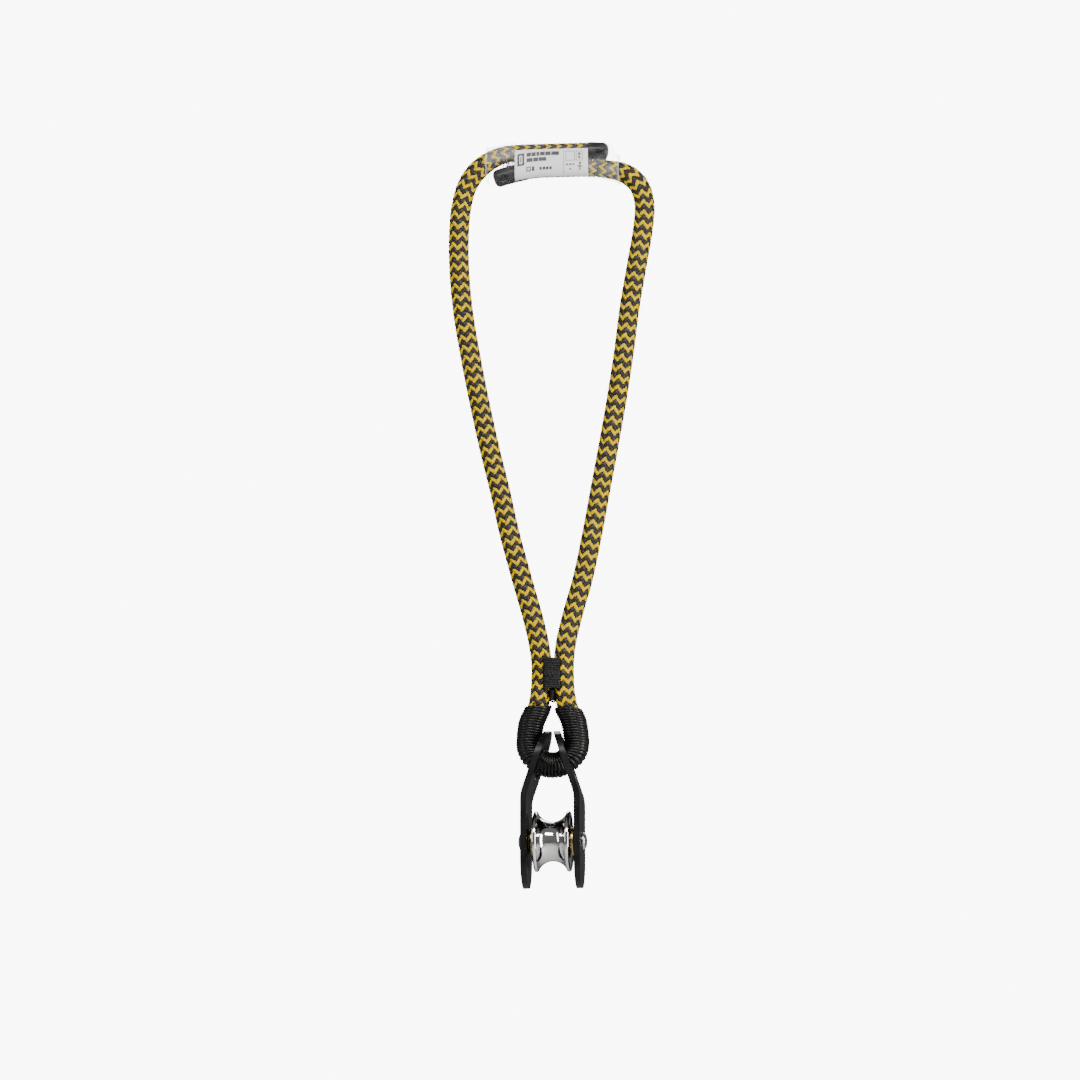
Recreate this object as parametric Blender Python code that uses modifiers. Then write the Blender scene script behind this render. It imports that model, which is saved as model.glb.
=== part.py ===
"""Small rope pulley hanging on the whipped eye of a sewn rope sling.

Metres, +Z up.  The sling hangs in the XZ plane.  The origin is the point on the
underside of the splice where the anchor bears.
"""
import math

import bmesh
import bpy
from mathutils import Matrix, Vector

MM = 0.001

# ---------------------------------------------------------------- rope and sling
ROPE_R = 6.3            # radius of the rope in the legs and the eye
SPLICE_R = 5.3          # radius of each strand where the film squeezes it
COVER_WALL = 2.0        # thickness of the braided cover
CORE_GAP = 0.6          # clearance between cover and core
END_GAP = 0.8           # clearance between the cover and a dipped rope end
END_RUN = 1.5           # short straight piece at each end of a tube, which squares its rim
ROPE_MAX_TURN = 9.0     # degrees of bend between two points of the rope curve
ROPE_MAX_STEP = 26.0    # longest distance between two points of the rope curve

# Centre line of the rope, x and z in mm, from the upper strand's end round the loop
# and the eye to the lower strand's end.
UPPER_STRAND = [(34.0, 15.4), (28.0, 16.0), (22.0, 16.3), (8.0, 16.4), (-8.0, 16.4), (-20.0, 16.3)]
LEFT_SHOULDER = [(-30.0, 15.2), (-38.8, 11.4), (-46.6, 5.1), (-52.4, -4.0), (-55.8, -17.0), (-57.1, -31.0)]
LEFT_LEG = [(-57.0, -55.0), (-54.6, -82.0), (-50.0, -110.0), (-44.6, -138.0), (-38.8, -165.0),
            (-32.0, -193.0), (-26.0, -220.0), (-18.8, -247.0), (-11.8, -272.0), (-8.2, -288.0)]
LEFT_THROAT = [(-6.7, -300.0), (-6.7, -309.0), (-7.2, -317.0), (-8.9, -326.0), (-12.8, -336.0)]
EYE_CENTRE_Z = -346.6   # centre of the round bottom of the eye
EYE_R = 14.1            # radius of the rope's centre line there
RIGHT_THROAT = [(12.8, -336.0), (8.9, -326.0), (7.2, -317.0), (6.7, -309.0), (6.7, -300.0)]
RIGHT_LEG = [(8.0, -287.0), (12.0, -270.0), (18.4, -247.0), (24.0, -220.0), (29.0, -193.0),
             (34.2, -165.0), (38.9, -138.0), (43.2, -110.0), (46.8, -82.0), (51.4, -55.0)]
RIGHT_SHOULDER = [(55.4, -31.0), (56.0, -17.0), (52.4, -5.6), (44.0, 1.7), (33.0, 4.5)]
LOWER_STRAND = [(20.0, 5.4), (8.0, 5.5), (-8.0, 5.4), (-18.0, 4.4), (-28.0, 2.1), (-35.8, -0.2)]
UPPER_CAP_LENGTH = 11.5
LOWER_CAP_LENGTH = 19.5
CAP_TIP = [(0.0, 0.42), (0.6, 0.66), (1.8, 0.84), (3.6, 0.95), (6.0, 1.0)]  # from tip, radius share
SQUEEZE = [(26.0, 1.0), (46.0, 0.0)]    # splice half length at full and at no squeeze

# ---------------------------------------------------------------- splice dressing
FILM_R = 6.1            # mid-surface radius of the film round each strand
FILM_WALL = 0.3
# Stations of the film: x, height of the lower and the upper arc centre, extra radius.
FILM_STATIONS = [(-40.4, 6.6, 11.8, 1.6), (-37.6, 2.6, 13.2, 0.6), (-35.0, 1.3, 14.2, 0.3),
                 (-31.0, 1.3, 15.4, 0.3), (-26.0, 2.5, 16.1, 0.2), (-20.0, 4.0, 16.3, 0.1),
                 (-14.0, 4.9, 16.4, 0.0), (-6.0, 5.4, 16.4, 0.0), (6.0, 5.4, 16.4, 0.0),
                 (16.0, 5.3, 16.4, 0.0), (24.0, 4.9, 16.2, 0.0), (30.0, 4.6, 15.9, 0.1),
                 (34.2, 4.1, 14.8, 0.3), (37.2, 3.3, 11.0, 0.6), (41.2, 2.2, 3.8, 1.4)]
FILM_ARC_STEPS = 6
LABEL_R = 5.78
LABEL_WALL = 0.14
LABEL_X = (-22.6, 22.2)
LABEL_LOW_ANGLE = 62.0   # degrees the label wraps under the lower strand
LABEL_HIGH_ANGLE = 5.0  # degrees it wraps over the upper strand
STITCH_R = 0.42
STITCH_Y = 4.75
STITCH_RISE = 1.7
STITCH_PITCH = 3.4
STITCH_X = (-30.0, 27.0)

# ---------------------------------------------------------------- throat and eye
THROAT_TOP_Z = -297.0
THROAT_ROWS = 19
THROAT_ROW_PITCH = 1.08
THROAT_HALF_WIDTH = 5.2
THROAT_INNER_Y = 6.45
THROAT_ROW_R = 0.50
SERVING_R = 7.9
SERVING_WALL = 1.3
SERVING_TOP_LEFT_Z = -325.6
SERVING_TOP_RIGHT_Z = -327.4

# ---------------------------------------------------------------- pulley
CHEEK_T = 3.6           # plate thickness
CHEEK_HALF_DEPTH = 18.0
CHEEK_X = 15.9          # mid-surface of the parallel lower part
CHEEK_TOP_X = 2.5       # mid-surface at the top end
CHEEK_TOP_Z = -340.4
CHEEK_KNEE_Z = -379.8   # where the sloping and the parallel part meet
CHEEK_BEND_R = 22.0
CHEEK_BOTTOM_Z = -434.4
CHEEK_EDGE = 0.7
EYE_HOLE_Z = -357.4
EYE_HOLE_R = 12.2
EYE_HOLE_FLARE = 3.2
AXLE_Z = -406.5
AXLE_R = 4.0
AXLE_HALF_LENGTH = 17.4
AXLE_BORE_R = 2.8
AXLE_HOLE_R = 4.3
SCREW_SHANK_R = 2.5
SCREW_SHANK = 9.0
HEAD_R = 5.2
HEAD_HEIGHT = 2.7
HEAD_SEAT_GAP = 0.2
SHEAVE_R = 18.0
SHEAVE_HALF_WIDTH = 10.95
GROOVE_BOTTOM_R = 11.8
GROOVE_R = 9.3
RIM_ROUND = 0.8
SHEAVE_BORE_R = 5.8
BUSH_R = 5.5
BUSH_BORE_R = 4.08
BUSH_LENGTH = 9.0
BUSH_FLANGE_R = 8.5
BUSH_FLANGE = 1.75
BUSH_SEAT_GAP = 0.3
WASHER_R = 7.0
WASHER_T = 0.5
ROUND_STEPS = 28
SHEAVE_STEPS = 44
ROPE_SIDES = 2          # gives 12 sides round the rope
SHARP_ANGLE = 40.0      # degrees between faces that still shade as one round surface

# name: colour, roughness, metallic
MATERIALS = {
    "rope_cover": ((0.72, 0.56, 0.05), 0.85, 0.0),
    "rope_core": ((0.85, 0.84, 0.80), 0.9, 0.0),
    "rope_end": ((0.025, 0.025, 0.028), 0.45, 0.0),
    "thread": ((0.02, 0.02, 0.022), 0.75, 0.0),
    "film": ((0.86, 0.88, 0.88), 0.12, 0.0),
    "label": ((0.88, 0.88, 0.87), 0.4, 0.0),
    "serving": ((0.022, 0.021, 0.021), 0.7, 0.0),
    "cheek": ((0.035, 0.036, 0.04), 0.42, 0.6),
    "sheave": ((0.80, 0.81, 0.82), 0.12, 1.0),
    "steel": ((0.62, 0.62, 0.63), 0.25, 1.0),
    "washer": ((0.05, 0.05, 0.055), 0.4, 0.6),
    "bronze": ((0.72, 0.50, 0.20), 0.3, 1.0),
}


# ================================================================ scene helpers
def clear_scene():
    for obj in list(bpy.data.objects):
        bpy.data.objects.remove(obj, do_unlink=True)


def new_collection(name):
    coll = bpy.data.collections.new(name)
    bpy.context.scene.collection.children.link(coll)
    return coll


def material(name):
    if name in bpy.data.materials:
        return bpy.data.materials[name]
    colour, roughness, metallic = MATERIALS[name]
    mat = bpy.data.materials.new(name)
    mat.use_nodes = True
    shader = mat.node_tree.nodes["Principled BSDF"]
    shader.inputs["Base Color"].default_value = (*colour, 1.0)
    shader.inputs["Roughness"].default_value = roughness
    shader.inputs["Metallic"].default_value = metallic
    mat.diffuse_color = (*colour, 1.0)
    return mat


def add_object(name, mesh, mat, coll):
    obj = bpy.data.objects.new(name, mesh)
    coll.objects.link(obj)
    if mat:
        mesh.materials.clear()
        mesh.materials.append(material(mat))
    return obj


def mesh_from_bmesh(name, bm):
    bmesh.ops.recalc_face_normals(bm, faces=bm.faces)
    mesh = bpy.data.meshes.new(name)
    bm.to_mesh(mesh)
    bm.free()
    smooth(mesh)
    return mesh


def mark_cutter(obj):
    obj.hide_render = True
    obj.display_type = "WIRE"


def boolean(obj, cutter, operation):
    mod = obj.modifiers.new(cutter.name, "BOOLEAN")
    mod.operation = operation
    mod.solver = "EXACT"
    mod.object = cutter


def smooth(mesh):
    """Smooth shading with the real corners kept sharp."""
    mesh.shade_smooth()
    mesh.set_sharp_from_angle(angle=math.radians(SHARP_ANGLE))


def parent_to(empty, children):
    for child in children:
        child.parent = empty
        child.matrix_parent_inverse = empty.matrix_world.inverted()


def pivot(name, z_mm, coll):
    empty = bpy.data.objects.new(name, None)
    empty.location = (0.0, 0.0, z_mm * MM)
    empty.empty_display_size = 0.01
    coll.objects.link(empty)
    bpy.context.view_layer.update()
    return empty


# ================================================================ rope centre line
def eye_arc():
    points = []
    for degrees in range(180, 361, 15):
        angle = math.radians(degrees)
        points.append((EYE_R * math.cos(angle), EYE_CENTRE_Z + EYE_R * math.sin(angle)))
    return points


def rope_route():
    route = UPPER_STRAND + LEFT_SHOULDER + LEFT_LEG + LEFT_THROAT + eye_arc()
    return route + RIGHT_THROAT + RIGHT_LEG + RIGHT_SHOULDER + LOWER_STRAND


def spline_point(p0, p1, p2, p3, t):
    """Centripetal Catmull-Rom point between p1 and p2."""
    knots = [0.0]
    for a, b in ((p0, p1), (p1, p2), (p2, p3)):
        knots.append(knots[-1] + max((b - a).length, 1e-6) ** 0.5)
    k0, k1, k2, k3 = knots
    u = k1 + (k2 - k1) * t
    a1 = p0 * ((k1 - u) / (k1 - k0)) + p1 * ((u - k0) / (k1 - k0))
    a2 = p1 * ((k2 - u) / (k2 - k1)) + p2 * ((u - k1) / (k2 - k1))
    a3 = p2 * ((k3 - u) / (k3 - k2)) + p3 * ((u - k2) / (k3 - k2))
    b1 = a1 * ((k2 - u) / (k2 - k0)) + a2 * ((u - k0) / (k2 - k0))
    b2 = a2 * ((k3 - u) / (k3 - k1)) + a3 * ((u - k1) / (k3 - k1))
    return b1 * ((k2 - u) / (k2 - k1)) + b2 * ((u - k1) / (k2 - k1))


def smooth_route(route):
    pts = [Vector((x, 0.0, z)) for x, z in route]
    first = pts[0] * 2.0 - pts[1]
    last = pts[-1] * 2.0 - pts[-2]
    pts = [first] + pts + [last]
    dense = []
    for i in range(1, len(pts) - 2):
        for step in range(12):
            dense.append(spline_point(pts[i - 1], pts[i], pts[i + 1], pts[i + 2], step / 12.0))
    dense.append(pts[-2])
    return dense


def cut_line(points, start, end):
    """The part of a polyline between two lengths along it."""
    out = []
    run = 0.0
    for a, b in zip(points, points[1:]):
        length = (b - a).length
        if run <= start < run + length:
            out.append(a.lerp(b, (start - run) / length))
        if start < run + length < end:
            out.append(b)
        if run < end <= run + length:
            out.append(a.lerp(b, (end - run) / length))
        run += length
    return out


def line_length(points):
    return sum((b - a).length for a, b in zip(points, points[1:]))


def thin_out(points):
    """Keeps a point where the line has turned or run far enough."""
    kept = [points[0], points[0] + (points[1] - points[0]).normalized() * END_RUN]
    heading = (points[1] - points[0]).normalized()
    for i in range(1, len(points) - 1):
        ahead = (points[i + 1] - points[i]).normalized()
        turned = math.degrees(heading.angle(ahead, 0.0))
        if turned >= ROPE_MAX_TURN or (points[i] - kept[-1]).length >= ROPE_MAX_STEP:
            kept.append(points[i])
            heading = ahead
    if (points[-1] - kept[-1]).length > 2.0 * END_RUN:
        kept.append(points[-1] + (points[-2] - points[-1]).normalized() * END_RUN)
    kept.append(points[-1])
    return kept


def rope_radius(point):
    """Radius of the rope at a point: it is squeezed inside the splice."""
    if point.z < -8.0:
        return ROPE_R
    inner, outer = SQUEEZE[0][0], SQUEEZE[1][0]
    share = min(1.0, max(0.0, (abs(point.x) - inner) / (outer - inner)))
    return SPLICE_R + (ROPE_R - SPLICE_R) * share


# ================================================================ tubes
def mesh_from_curve(name, temp, mat, coll):
    """The curve object as a mesh object with its caps welded on."""
    coll.objects.link(temp)
    bpy.context.view_layer.update()
    graph = bpy.context.evaluated_depsgraph_get()
    mesh = bpy.data.meshes.new_from_object(temp.evaluated_get(graph))
    bm = bmesh.new()
    bm.from_mesh(mesh)
    bmesh.ops.remove_doubles(bm, verts=bm.verts, dist=1e-6)
    bmesh.ops.recalc_face_normals(bm, faces=bm.faces)
    bm.to_mesh(mesh)
    bm.free()
    smooth(mesh)
    obj = add_object(name, mesh, mat, coll)
    obj.matrix_world = temp.matrix_world
    bpy.data.objects.remove(temp, do_unlink=True)
    return obj


def tube(name, points, radii, mat, coll, wall=None, resolution=ROPE_SIDES):
    """Cord along points (mm).  With a wall it is a pipe that is open at both ends."""
    curve = bpy.data.curves.new(name, "CURVE")
    curve.dimensions = "3D"
    curve.twist_mode = "MINIMUM"
    curve.bevel_depth = MM
    curve.bevel_resolution = resolution
    curve.use_fill_caps = wall is None
    spline = curve.splines.new("POLY")
    spline.points.add(len(points) - 1)
    for spot, point, radius in zip(spline.points, points, radii):
        spot.co = (*(point * MM), 1.0)
        spot.radius = radius
    obj = mesh_from_curve(name, bpy.data.objects.new(name + "_curve", curve), mat, coll)
    if wall:
        solid = obj.modifiers.new("wall", "SOLIDIFY")
        solid.thickness = wall * MM
        solid.offset = -1.0
        solid.use_even_offset = True
    return obj


def build_rope(coll):
    dense = smooth_route(rope_route())
    total = line_length(dense)
    middle = cut_line(dense, UPPER_CAP_LENGTH + END_GAP, total - LOWER_CAP_LENGTH - END_GAP)
    line = thin_out(middle)
    radii = [rope_radius(p) for p in line]
    tube("rope_cover", line, radii, "rope_cover", coll, wall=COVER_WALL)
    core = [r - COVER_WALL - CORE_GAP for r in radii]
    tube("rope_core", line, core, "rope_core", coll)
    build_cap("rope_end_upper", cut_line(dense, 0.0, UPPER_CAP_LENGTH), coll)
    lower = cut_line(dense, total - LOWER_CAP_LENGTH, total)
    lower.reverse()
    build_cap("rope_end_lower", lower, coll)
    return line


def build_cap(name, points, coll):
    """Dipped rope end, points run from its rounded tip to the cover."""
    total = line_length(points)
    stops = [share for share, _ in CAP_TIP] + [total - END_RUN, total]
    sizes = [size for _, size in CAP_TIP] + [1.0, 1.0]
    line = [cut_line(points, 0.0, max(stop, 1e-4))[-1] for stop in stops]
    radii = [SPLICE_R * size for size in sizes]
    tube(name, line, radii, "rope_end", coll)


def build_serving(line, coll):
    """Cord wound round the eye, as a pipe on the rope's own centre line."""
    inside = [i for i, p in enumerate(line) if p.z < SERVING_TOP_LEFT_Z]
    first, last = inside[0], inside[-1]
    start = crossing(line[first - 1], line[first], SERVING_TOP_LEFT_Z)
    end = crossing(line[last], line[last + 1], SERVING_TOP_RIGHT_Z)
    points = [start] + [p for p in line[first:last + 1] if p.x < 0 or p.z < SERVING_TOP_RIGHT_Z] + [end]
    radii = [SERVING_R] * len(points)
    tube("eye_serving", points, radii, "serving", coll, wall=SERVING_WALL)


def crossing(a, b, z):
    return a.lerp(b, (z - a.z) / (b.z - a.z))


# ================================================================ splice and throat
def film_ring(x, low, high, radius, start, end):
    """Points round two strands, by angle from the underside over the front (-Y)."""
    points = []
    steps = FILM_ARC_STEPS
    for i in range(steps + 1):
        angle = math.radians(start + (90.0 - start) * i / steps)
        points.append((x, -radius * math.sin(angle), low - radius * math.cos(angle)))
    for i in range(steps + 1):
        angle = math.radians(90.0 + (end - 90.0) * i / steps)
        points.append((x, -radius * math.sin(angle), high - radius * math.cos(angle)))
    return points


def skin(name, rings, closed, wall, mat, coll):
    """Surface through rings of points, thickened to both sides."""
    bm = bmesh.new()
    grid = [[bm.verts.new(Vector(p) * MM) for p in ring] for ring in rings]
    count = len(grid[0])
    for a, b in zip(grid, grid[1:]):
        for i in range(count if closed else count - 1):
            j = (i + 1) % count
            bm.faces.new((a[i], a[j], b[j], b[i]))
    obj = add_object(name, mesh_from_bmesh(name, bm), mat, coll)
    solid = obj.modifiers.new("wall", "SOLIDIFY")
    solid.thickness = wall * MM
    solid.offset = 0.0
    solid.use_even_offset = True
    return obj


def full_ring(x, low, high, radius):
    front = film_ring(x, low, high, radius, 0.0, 180.0)
    back = [(px, -py, pz) for px, py, pz in reversed(front)]
    return front + back[1:-1]


def station_at(x):
    for a, b in zip(FILM_STATIONS, FILM_STATIONS[1:]):
        if a[0] <= x <= b[0]:
            share = (x - a[0]) / (b[0] - a[0])
            return a[1] + (b[1] - a[1]) * share, a[2] + (b[2] - a[2]) * share
    return FILM_STATIONS[0][1], FILM_STATIONS[0][2]


def build_splice(coll):
    rings = [full_ring(x, low, high, FILM_R + extra) for x, low, high, extra in FILM_STATIONS]
    skin("splice_sleeve", rings, True, FILM_WALL, "film", coll)
    rings = []
    for i in range(7):
        x = LABEL_X[0] + (LABEL_X[1] - LABEL_X[0]) * i / 6.0
        low, high = station_at(x)
        rings.append(film_ring(x, low, high, LABEL_R, 90.0 - LABEL_LOW_ANGLE, 90.0 + LABEL_HIGH_ANGLE))
    skin("splice_label", rings, False, LABEL_WALL, "label", coll)
    for side, name in ((-1.0, "splice_stitch_front"), (1.0, "splice_stitch_back")):
        tube(name, stitch_line(side), [STITCH_R] * len(stitch_line(side)), "thread", coll, resolution=1)


def stitch_line(side):
    """Zigzag thread in the groove between the two strands."""
    points = []
    count = int((STITCH_X[1] - STITCH_X[0]) / STITCH_PITCH)
    for i in range(count + 1):
        x = STITCH_X[0] + i * STITCH_PITCH
        low, high = station_at(x)
        middle = (low + high) / 2.0
        rise = STITCH_RISE if i % 2 else -STITCH_RISE
        points.append(Vector((x, side * STITCH_Y, middle + rise)))
    return points


def build_throat(coll):
    """Blocks of thread rows, front and back: a ribbed slab drawn in profile."""
    for side, name in ((-1.0, "throat_stitch_front"), (1.0, "throat_stitch_back")):
        outline = [(THROAT_INNER_Y, THROAT_TOP_Z)]
        for row in range(THROAT_ROWS):
            top = THROAT_TOP_Z - row * THROAT_ROW_PITCH
            outline.append((THROAT_INNER_Y + 0.35, top))
            outline.append((THROAT_INNER_Y + 0.35 + THROAT_ROW_R, top - 0.3 * THROAT_ROW_PITCH))
            outline.append((THROAT_INNER_Y + 0.35 + THROAT_ROW_R, top - 0.7 * THROAT_ROW_PITCH))
        bottom = THROAT_TOP_Z - THROAT_ROWS * THROAT_ROW_PITCH
        outline.append((THROAT_INNER_Y + 0.35, bottom))
        outline.append((THROAT_INNER_Y, bottom))
        profile = [(side * y, z) for y, z in outline]
        flat_shape(name, profile, THROAT_HALF_WIDTH, facing_x(), "thread", coll)


def flat_shape(name, outline, half, turn, mat, coll):
    """Closed (u, v) outline in mm, extruded by half to both sides, then turned."""
    curve = bpy.data.curves.new(name, "CURVE")
    curve.dimensions = "2D"
    curve.fill_mode = "BOTH"
    curve.extrude = half * MM
    spline = curve.splines.new("POLY")
    spline.points.add(len(outline) - 1)
    for spot, (u, v) in zip(spline.points, outline):
        spot.co = (u * MM, v * MM, 0.0, 1.0)
    spline.use_cyclic_u = True
    temp = bpy.data.objects.new(name + "_curve", curve)
    temp.matrix_world = turn
    return mesh_from_curve(name, temp, mat, coll)


def facing_x(x=0.0):
    """Turns a flat outline (u, v) to (y, z), extruded along X."""
    rows = ((0.0, 0.0, 1.0, x * MM), (1.0, 0.0, 0.0, 0.0), (0.0, 1.0, 0.0, 0.0), (0.0, 0.0, 0.0, 1.0))
    return Matrix(rows)


def facing_y():
    """Turns a flat outline (u, v) to (x, z), extruded along Y."""
    return Matrix.Rotation(math.pi / 2.0, 4, "X")


# ================================================================ round metal parts
def revolve(name, profile, mat, coll, steps=ROUND_STEPS):
    """Turns (radius, along) in mm about the axle line; along points to +X."""
    bm = bmesh.new()
    verts = [bm.verts.new((r * MM, 0.0, along * MM)) for r, along in profile]
    for a, b in zip(verts, verts[1:]):
        bm.edges.new((a, b))
    if profile[0][0] > 1e-6:
        bm.edges.new((verts[-1], verts[0]))
    mesh = bpy.data.meshes.new(name)
    bm.to_mesh(mesh)
    bm.free()
    obj = add_object(name, mesh, mat, coll)
    obj.matrix_world = Matrix.Translation((0.0, 0.0, AXLE_Z * MM)) @ Matrix.Rotation(math.pi / 2, 4, "Y")
    screw = obj.modifiers.new("turn", "SCREW")
    screw.steps = steps
    screw.render_steps = steps
    screw.use_smooth_shade = True
    screw.use_merge_vertices = True
    screw.merge_threshold = 1e-6
    return obj


def groove_profile():
    """Outer side of the sheave from its +X face to its -X face."""
    depth_half = SHEAVE_HALF_WIDTH
    centre = GROOVE_BOTTOM_R + GROOVE_R
    lip_r = SHEAVE_R - RIM_ROUND
    half_mouth = math.sqrt(GROOVE_R ** 2 - (centre - lip_r) ** 2)
    lip = (half_mouth + depth_half) / 2.0
    rim = (depth_half - half_mouth) / 2.0
    side = []
    for degrees in range(0, 181, 45):
        angle = math.radians(degrees)
        side.append((lip_r + RIM_ROUND * math.sin(angle), lip + rim * math.cos(angle)))
    arc = []
    spread = math.asin(half_mouth / GROOVE_R)
    for i in range(1, 12):
        angle = spread * (1.0 - i / 6.0)
        arc.append((centre - GROOVE_R * math.cos(angle), GROOVE_R * math.sin(angle)))
    other = [(r, -along) for r, along in reversed(side)]
    return side + arc + other


def build_sheave(coll):
    face = SHEAVE_HALF_WIDTH
    bore = [(SHEAVE_BORE_R, -face), (SHEAVE_BORE_R, face)]
    dish_out = [(9.6, face), (10.4, face - 0.7), (15.2, face - 0.7), (16.0, face)]
    outer = dish_out + groove_profile()
    outer += [(r, -along) for r, along in reversed(dish_out)]
    return revolve("sheave", outer + bore, "sheave", coll, SHEAVE_STEPS)


def mirrored(profile, side):
    """Profile for the +X side, or turned over for the -X side."""
    if side > 0:
        return profile
    return [(r, -along) for r, along in reversed(profile)]


def build_bush(name, side, coll):
    seat = SHEAVE_HALF_WIDTH + BUSH_SEAT_GAP
    outer = seat + BUSH_FLANGE
    inner = SHEAVE_HALF_WIDTH - BUSH_LENGTH
    profile = [(BUSH_BORE_R + 0.3, outer), (BUSH_FLANGE_R - 0.3, outer), (BUSH_FLANGE_R, outer - 0.3),
               (BUSH_FLANGE_R, seat + 0.3), (BUSH_FLANGE_R - 0.3, seat), (BUSH_R, seat),
               (BUSH_R, inner), (BUSH_BORE_R, inner), (BUSH_BORE_R, outer - 0.3)]
    return revolve(name, mirrored(profile, side), "bronze", coll)


def build_washer(name, side, coll):
    inner = SHEAVE_HALF_WIDTH + BUSH_SEAT_GAP + BUSH_FLANGE + 0.25
    outer = inner + WASHER_T
    profile = [(AXLE_HOLE_R, outer), (WASHER_R, outer), (WASHER_R, inner), (AXLE_HOLE_R, inner)]
    return revolve(name, mirrored(profile, side), "washer", coll)


def build_axle(coll):
    half = AXLE_HALF_LENGTH
    profile = [(AXLE_BORE_R, half), (AXLE_R - 0.3, half), (AXLE_R, half - 0.3), (AXLE_R, 0.3 - half),
               (AXLE_R - 0.3, -half), (AXLE_BORE_R, -half)]
    return revolve("axle_sleeve", profile, "steel", coll)


def build_screw(name, side, coll):
    """Dome head outside the cheek, shank in the axle's bore."""
    seat = CHEEK_X + CHEEK_T / 2.0 + HEAD_SEAT_GAP
    dome = []
    for degrees in (90, 68, 45, 22, 0):
        angle = math.radians(degrees)
        rise = (HEAD_HEIGHT - 0.5) * math.sin(angle)
        dome.append((HEAD_R * math.cos(angle), seat + 0.5 + rise))
    dome[0] = (0.0, dome[0][1])
    shank = [(HEAD_R, seat + 0.25), (HEAD_R - 0.25, seat), (SCREW_SHANK_R, seat),
             (SCREW_SHANK_R, seat - SCREW_SHANK + 0.5), (SCREW_SHANK_R - 0.5, seat - SCREW_SHANK),
             (0.0, seat - SCREW_SHANK)]
    profile = dome + shank
    if side < 0:
        profile = [(r, -along) for r, along in reversed(profile)]
    return revolve(name, profile, "steel", coll)


# ================================================================ cheek plates
def cheek_line():
    """Mid-surface of the right cheek as (x, z), top to bottom, with a rounded knee."""
    top = Vector((CHEEK_TOP_X, CHEEK_TOP_Z))
    knee = Vector((CHEEK_X, CHEEK_KNEE_Z))
    down = Vector((0.0, -1.0))
    slope = (knee - top).normalized()
    turn = slope.angle(down)
    reach = CHEEK_BEND_R * math.tan(turn / 2.0)
    centre = Vector((CHEEK_X - CHEEK_BEND_R, CHEEK_KNEE_Z - reach))
    bend = []
    for i in range(7):
        angle = turn * (1.0 - i / 6.0)
        bend.append(centre + CHEEK_BEND_R * Vector((math.cos(angle), math.sin(angle))))
    start = top - slope * 6.0
    end = Vector((CHEEK_X, CHEEK_BOTTOM_Z - 6.0))
    return [start] + bend + [end]


def offset_line(points, distance):
    out = []
    for i, point in enumerate(points):
        before = points[max(i - 1, 0)]
        after = points[min(i + 1, len(points) - 1)]
        along = (after - before).normalized()
        out.append(point + Vector((-along.y, along.x)) * distance)
    return out


def cheek_outline():
    """Side view (y, z) of a cheek: straight sides with round ends."""
    points = []
    for degrees in range(0, 181, 12):
        angle = math.radians(degrees)
        rise = (CHEEK_TOP_Z - EYE_HOLE_Z) * math.sin(angle)
        points.append((CHEEK_HALF_DEPTH * math.cos(angle), EYE_HOLE_Z + rise))
    low = CHEEK_BOTTOM_Z + CHEEK_HALF_DEPTH
    for degrees in range(180, 361, 12):
        angle = math.radians(degrees)
        points.append((CHEEK_HALF_DEPTH * math.cos(angle), low + CHEEK_HALF_DEPTH * math.sin(angle)))
    return points


def cylinder(name, profile, matrix, coll, steps=32):
    """Turned cutter: (radius, along) outline about its own Z, then placed."""
    obj = revolve(name, profile, None, coll, steps)
    obj.matrix_world = matrix
    mark_cutter(obj)
    return obj


def build_cheek(name, side, coll, cutters):
    middle = cheek_line()
    ring = offset_line(middle, CHEEK_T / 2.0)
    ring += list(reversed(offset_line(middle, -CHEEK_T / 2.0)))
    outline = [(p.x * side, p.y) for p in ring]
    plate = flat_shape(name, outline, CHEEK_HALF_DEPTH + 4.0, facing_y(), "cheek", coll)
    trim = flat_shape(name + "_outline", cheek_outline(), 30.0, facing_x(), None, cutters)
    mark_cutter(trim)
    boolean(plate, trim, "INTERSECT")

    slope = Vector((CHEEK_X - CHEEK_TOP_X, 0.0, CHEEK_KNEE_Z - CHEEK_TOP_Z)).normalized()
    normal = Vector((-slope.z, 0.0, slope.x))
    share = (CHEEK_TOP_Z - EYE_HOLE_Z) / (CHEEK_TOP_Z - CHEEK_KNEE_Z)
    spot = Vector((CHEEK_TOP_X + share * (CHEEK_X - CHEEK_TOP_X), 0.0, EYE_HOLE_Z))
    normal.x *= side
    spot.x *= side
    place = Matrix.Translation(spot * MM) @ normal.to_track_quat("Z", "Y").to_matrix().to_4x4()
    half = CHEEK_T / 2.0
    flare = EYE_HOLE_FLARE
    profile = [(0.0, 9.0), (EYE_HOLE_R + 9.0 - half + flare, 9.0), (EYE_HOLE_R, half - flare),
               (EYE_HOLE_R, -9.0), (0.0, -9.0)]
    boolean(plate, cylinder(name + "_eye_hole", profile, place, cutters), "DIFFERENCE")

    across = Matrix.Translation((0.0, 0.0, AXLE_Z * MM)) @ Matrix.Rotation(math.pi / 2, 4, "Y")
    profile = [(0.0, 30.0), (AXLE_HOLE_R, 30.0), (AXLE_HOLE_R, -30.0), (0.0, -30.0)]
    boolean(plate, cylinder(name + "_axle_hole", profile, across, cutters), "DIFFERENCE")

    bevel = plate.modifiers.new("edges", "BEVEL")
    bevel.width = CHEEK_EDGE * MM
    bevel.segments = 1
    bevel.limit_method = "ANGLE"
    bevel.angle_limit = math.radians(38.0)
    bevel.use_clamp_overlap = True
    return plate


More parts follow.
